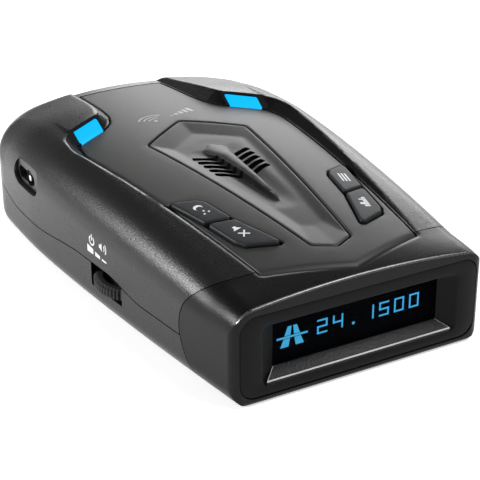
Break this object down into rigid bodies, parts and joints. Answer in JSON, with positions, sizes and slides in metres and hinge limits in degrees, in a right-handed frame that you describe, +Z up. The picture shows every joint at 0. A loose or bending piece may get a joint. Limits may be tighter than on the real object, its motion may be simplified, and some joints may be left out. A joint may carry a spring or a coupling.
{
  "type": "radar detector",
  "caption": "Car radar and laser detector with a tapered black housing, blue alert windows, a speaker plate, soft keys, a side volume wheel, a power socket and a recessed display.",
  "frame": {"origin": "centre of the underside, on the surface that the detector lies on", "axes": "+Z up, the display end faces -Y, the antenna and bracket end faces +Y"},
  "size_m": [0.071, 0.1139, 0.0288],
  "materials": {
    "shell_plastic": "satin moulded black",
    "cap_plastic": "semi-gloss black",
    "fascia_plastic": "fine matte black",
    "sill_plastic": "textured dark grey",
    "window_plastic": "smoked clear, polished",
    "plate_plastic": "soft matte dark grey",
    "key_plastic": "fine grained dark slate, printed white legends",
    "frame_plastic": "gloss black",
    "alert_plastic": "translucent blue",
    "guide_plastic": "clear acrylic",
    "led_plastic": "clear over white",
    "wheel_plastic": "matte black",
    "pot_plastic": "dark blue moulding",
    "steel": "plated steel",
    "socket_plastic": "black moulding",
    "socket_metal": "nickel plated",
    "board_green": "green solder mask",
    "switch_plastic": "black moulding",
    "chip_epoxy": "black epoxy",
    "capacitor_can": "aluminium can",
    "holder_plastic": "white moulding",
    "display_glass": "dark glass",
    "ribbon_film": "amber film",
    "horn_metal": "cast, bead blasted",
    "laser_plastic": "deep red, polished",
    "laser_glass": "clear",
    "sensor_plastic": "black epoxy",
    "felt": "black felt",
    "basket_metal": "black painted steel",
    "cone_paper": "pressed paper",
    "magnet_ferrite": "ferrite",
    "release_plastic": "matte black",
    "label_film": "silver film, plain"
  },
  "bodies": {
    "housing": {"upper_housing": "shell_plastic", "lower_housing": "shell_plastic", "front_cap": "cap_plastic", "display_fascia": "fascia_plastic", "display_sill": "sill_plastic", "display_window": "window_plastic", "top_plate": "plate_plastic", "speaker_plate": "plate_plastic", "left_window_frame": "frame_plastic", "right_window_frame": "frame_plastic", "left_alert_lens": "alert_plastic", "right_alert_lens": "alert_plastic", "left_light_guide": "guide_plastic", "right_light_guide": "guide_plastic", "alert_leds": "led_plastic", "volume_pot": "pot_plastic", "wheel_clip": "steel", "power_socket": "socket_plastic", "socket_pin": "socket_metal", "main_board": "board_green", "tact_switches": "switch_plastic", "board_chips": "chip_epoxy", "board_capacitors": "capacitor_can", "display_holder": "holder_plastic", "display_glass": "display_glass", "display_board": "board_green", "display_ribbon": "ribbon_film", "horn_antenna": "horn_metal", "mixer_board": "board_green", "rf_shield": "steel", "laser_window": "laser_plastic", "laser_lens": "laser_glass", "laser_sensor": "sensor_plastic", "speaker_felt": "felt", "speaker_frame": "basket_metal", "speaker_cone": "cone_paper", "speaker_magnet": "magnet_ferrite", "rating_label": "label_film", "housing_screws": "steel", "board_screws": "steel", "antenna_screws": "steel"},
    "dark_key": {"dark_button": "key_plastic"},
    "quiet_key": {"quiet_button": "key_plastic"},
    "menu_key": {"menu_button": "key_plastic"},
    "city_key": {"city_button": "key_plastic"},
    "volume_control": {"volume_wheel": "wheel_plastic"},
    "bracket_latch": {"bracket_release": "release_plastic"}
  },
  "joints": [
    {"name": "dark_press", "type": "slide", "parent": "housing", "child": "dark_key", "axis": [0, 0, -1], "range_m": [0, 0.0006], "stiffness_N_per_m": 2500},
    {"name": "quiet_press", "type": "slide", "parent": "housing", "child": "quiet_key", "axis": [0, 0, -1], "range_m": [0, 0.0006], "stiffness_N_per_m": 2500},
    {"name": "menu_press", "type": "slide", "parent": "housing", "child": "menu_key", "axis": [0, 0, -1], "range_m": [0, 0.0006], "stiffness_N_per_m": 2500},
    {"name": "city_press", "type": "slide", "parent": "housing", "child": "city_key", "axis": [0, 0, -1], "range_m": [0, 0.0006], "stiffness_N_per_m": 2500},
    {"name": "volume_turn", "type": "hinge", "parent": "housing", "child": "volume_control", "pos_m": [-0.0253, -0.0115, 0.007], "axis": [0, 0, 1], "range_deg": [0, 270]},
    {"name": "bracket_release_press", "type": "slide", "parent": "housing", "child": "bracket_latch", "axis": [0, 0, 1], "range_m": [0, 0.0012], "stiffness_N_per_m": 1500}
  ]
}
